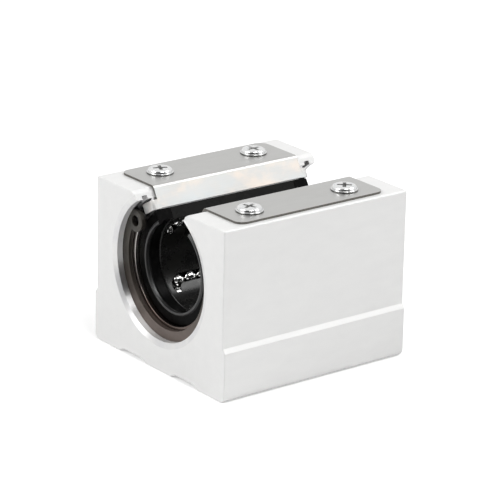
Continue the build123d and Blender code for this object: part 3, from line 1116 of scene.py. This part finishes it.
def makeScrewShape(values):
    corners = [
        (values["headRadius"], values["headHeight"]),
        (values["headRadius"], values["rimHeight"]),
        (values["rimRadius"], values["rimHeight"]),
        (values["rimRadius"], 0),
        (values["shankRadius"], 0),
        (values["shankRadius"], -values["shankLength"]),
    ]
    profile = roundCorners(list(zip(corners, values["cornerRadii"])), before=(0, values["headHeight"]),
                           after=(0, -values["shankLength"]), steps=values["cornerSteps"])
    sides = values["sides"]
    points, faces = [], []
    for point in profile:
        for side in range(sides):
            angle = 2 * math.pi * side / sides
            points.append((point.x * math.cos(angle), point.x * math.sin(angle), point.y))
    for level in range(len(profile) - 1):
        low, high = level * sides, (level + 1) * sides
        for side in range(sides):
            following = (side + 1) % sides
            faces.append((low + side, low + following, high + following, high + side))
    faces.append(tuple(range(sides)))
    faces.append(tuple((len(profile) - 1) * sides + side for side in range(sides)))
    screw = newMesh("screwShape", points, faces)
    closeAndTurnOut(screw)
    for name in ("screw", "screwRecess"):
        screw.data.materials.append(materials[name])

    top = values["headHeight"] + values["recessOverrun"]
    floor = values["headHeight"] - values["recessDepth"]
    spread = math.tan(math.radians(values["recessTaper"])) * (top - floor)
    blades = []
    for turned in (False, True):
        halfLength, halfWidth = values["recessLength"] / 2, values["recessWidth"] / 2
        corners = []
        for z, grow in ((floor, -spread * values["recessFloorShare"]), (top, values["recessTopSpare"])):
            x, y = halfLength + grow, halfWidth + grow * values["recessSideShare"]
            ring = [(-x, -y, z), (x, -y, z), (x, y, z), (-x, y, z)]
            corners += [(-b, a, z) if turned else (a, b, z) for a, b, z in ring]
        sidesOfBox = [(0, 1, 2, 3), (4, 5, 6, 7), (0, 1, 5, 4), (1, 2, 6, 5), (2, 3, 7, 6), (3, 0, 4, 7)]
        blade = newMesh("recessBlade", corners, sidesOfBox)
        closeAndTurnOut(blade)
        # the recess faces take the painted-shade material
        for name in ("screw", "screwRecess"):
            blade.data.materials.append(materials[name])
        for face in blade.data.polygons:
            face.material_index = 1
        addModifier(screw, "BOOLEAN", object=blade, operation="DIFFERENCE", solver="EXACT")
        settle(screw)
        blades.append(blade)
    for blade in blades:
        bpy.data.objects.remove(blade)
    addModifier(screw, "BEVEL", width=values["edgeWidth"] * mm, segments=values["edgeSegments"],
                limit_method="ANGLE", angle_limit=math.radians(values["edgeAngle"]))
    settle(screw)
    shade(screw, values["smoothAngle"])
    return screw


def screwTree():
    tree, given, made = geometryTree("screwsOnPoints", [
        ("Screw", "Object"), ("Material", "Material"), ("Recess Material", "Material")])
    info = addNode(tree, "GeometryNodeObjectInfo", transform_space="ORIGINAL")
    turn = addNode(tree, "GeometryNodeInputNamedAttribute", data_type="FLOAT_VECTOR")
    turn.inputs["Name"].default_value = "turn"
    rotation = addNode(tree, "FunctionNodeEulerToRotation")
    place = addNode(tree, "GeometryNodeInstanceOnPoints")
    real = addNode(tree, "GeometryNodeRealizeInstances")
    inRecess = addNode(tree, "GeometryNodeMaterialSelection")
    outside = addNode(tree, "FunctionNodeBooleanMath", operation="NOT")
    paint = addNode(tree, "GeometryNodeSetMaterial")
    wire(tree,
         (given["Recess Material"], inRecess.inputs["Material"]),
         (inRecess.outputs["Selection"], outside.inputs[0]),
         (outside.outputs["Boolean"], paint.inputs["Selection"]),
         (given["Screw"], info.inputs["Object"]),
         (given["Geometry"], place.inputs["Points"]),
         (info.outputs["Geometry"], place.inputs["Instance"]),
         (turn.outputs["Attribute"], rotation.inputs["Euler"]),
         (rotation.outputs["Rotation"], place.inputs["Rotation"]),
         (place.outputs["Instances"], real.inputs["Geometry"]),
         (real.outputs["Geometry"], paint.inputs["Geometry"]),
         (given["Material"], paint.inputs["Material"]),
         (paint.outputs["Geometry"], made["Geometry"]))
    return tree


def makeScrews(values):
    shape = makeScrewShape(values)
    places = [(x * values["spacingX"] / 2, y * values["offsetY"], values["seat"])
              for x in (-1, 1) for y in (-1, 1)]
    piece = newMesh("plateScrews", places, [])
    turns = piece.data.attributes.new("turn", "FLOAT_VECTOR", "POINT")
    for target, angle in zip(turns.data, values["turns"]):
        target.vector = (0, 0, math.radians(angle))
    runTree(piece, screwTree(), {"Screw": shape, "Material": materials["screw"],
                                 "Recess Material": materials["screwRecess"]})
    bpy.data.objects.remove(shape)
    evenShading(piece)
    finishPiece(piece, "zinc_steel", "plate_screws")


makeScrews(plateScrew)
print("plate screws made")


# Studio: pale floor, white surroundings that reflect darker behind the camera, four soft boxes

studio = {
    "floorSize": 8.0,
    "floorColour": (0.86, 0.86, 0.86),
    "floorGlow": 0.31,
    "floorRoughness": 0.9,
    "floorSpecular": 0.1,
    "ambient": 0.45,
    "darkWay": (-0.61, -0.78, 0.1),
    "darkFrom": 0.35,
    "darkTo": 0.75,
    "darkest": 0.06,
    "lamps": {
        "farLamp": {"place": (0.55, -0.7, 0.5), "size": 0.55, "power": 0.95},
        "slotLamp": {"place": (0.58, -0.25, 0.75), "size": 0.35, "power": 2.6},
        "frontLamp": {"place": (-0.75, 0.25, 0.65), "size": 0.5, "power": 4.6},
        "rightLamp": {"place": (-0.085, -0.49, 0.82), "size": 0.3, "power": 2.5},
    },
}


def seenDirectly(tree):
    # camera, mirror and glass rays
    path = addNode(tree, "ShaderNodeLightPath")
    either = combine(tree, "MAXIMUM", path.outputs["Is Camera Ray"], path.outputs["Is Glossy Ray"])
    return combine(tree, "MAXIMUM", either, path.outputs["Is Transmission Ray"])


def makeFloor(values):
    half = values["floorSize"] / 2 / mm
    corners = [(-half, -half, 0), (half, -half, 0), (half, half, 0), (-half, half, 0)]
    floor = newMesh("floor", corners, [(0, 1, 2, 3)])
    material = bpy.data.materials.new("paleFloor")
    material.use_nodes = True
    tree = material.node_tree
    shader = tree.nodes["Principled BSDF"]
    shader.inputs["Base Color"].default_value = (*values["floorColour"], 1)
    shader.inputs["Roughness"].default_value = values["floorRoughness"]
    shader.inputs["Specular IOR Level"].default_value = values["floorSpecular"]
    shader.inputs["Emission Color"].default_value = (1, 1, 1, 1)
    glow = combine(tree, "MULTIPLY", seenDirectly(tree), values["floorGlow"])
    wire(tree, (glow, shader.inputs["Emission Strength"]))
    floor.data.materials.append(material)


def makeWorld(values):
    world = bpy.data.worlds.new("studio")
    scene.world = world
    world.use_nodes = True
    tree = world.node_tree
    background = tree.nodes["Background"]
    background.inputs["Color"].default_value = (1, 1, 1, 1)
    facing = addNode(tree, "ShaderNodeVectorMath", operation="DOT_PRODUCT")
    facing.inputs[1].default_value = Vector(values["darkWay"]).normalized()
    wire(tree, (addNode(tree, "ShaderNodeTexCoord").outputs["Generated"], facing.inputs[0]))
    shade = toRange(tree, facing.outputs["Value"], 1.0, values["darkest"], values["darkFrom"], values["darkTo"])
    strength = toRange(tree, seenDirectly(tree), values["ambient"], 1.0, 0, 1)
    light = combine(tree, "MULTIPLY", shade, strength)
    inView = addNode(tree, "ShaderNodeLightPath").outputs["Is Camera Ray"]
    wire(tree, (combine(tree, "MAXIMUM", light, inView), background.inputs["Strength"]))


def makeLamp(name, values):
    data = bpy.data.lights.new(name, "AREA")
    data.shape = "SQUARE"
    data.size = values["size"]
    data.energy = values["power"]
    lamp = bpy.data.objects.new(name, data)
    lamp.location = values["place"]
    aim = Vector((0, 0, axisHeight * mm)) - Vector(values["place"])
    lamp.rotation_mode = "QUATERNION"
    lamp.rotation_quaternion = aim.to_track_quat("-Z", "Y")
    scene.collection.objects.link(lamp)


makeFloor(studio)
makeWorld(studio)
for lampName, lampValues in studio["lamps"].items():
    makeLamp(lampName, lampValues)
print("studio made")
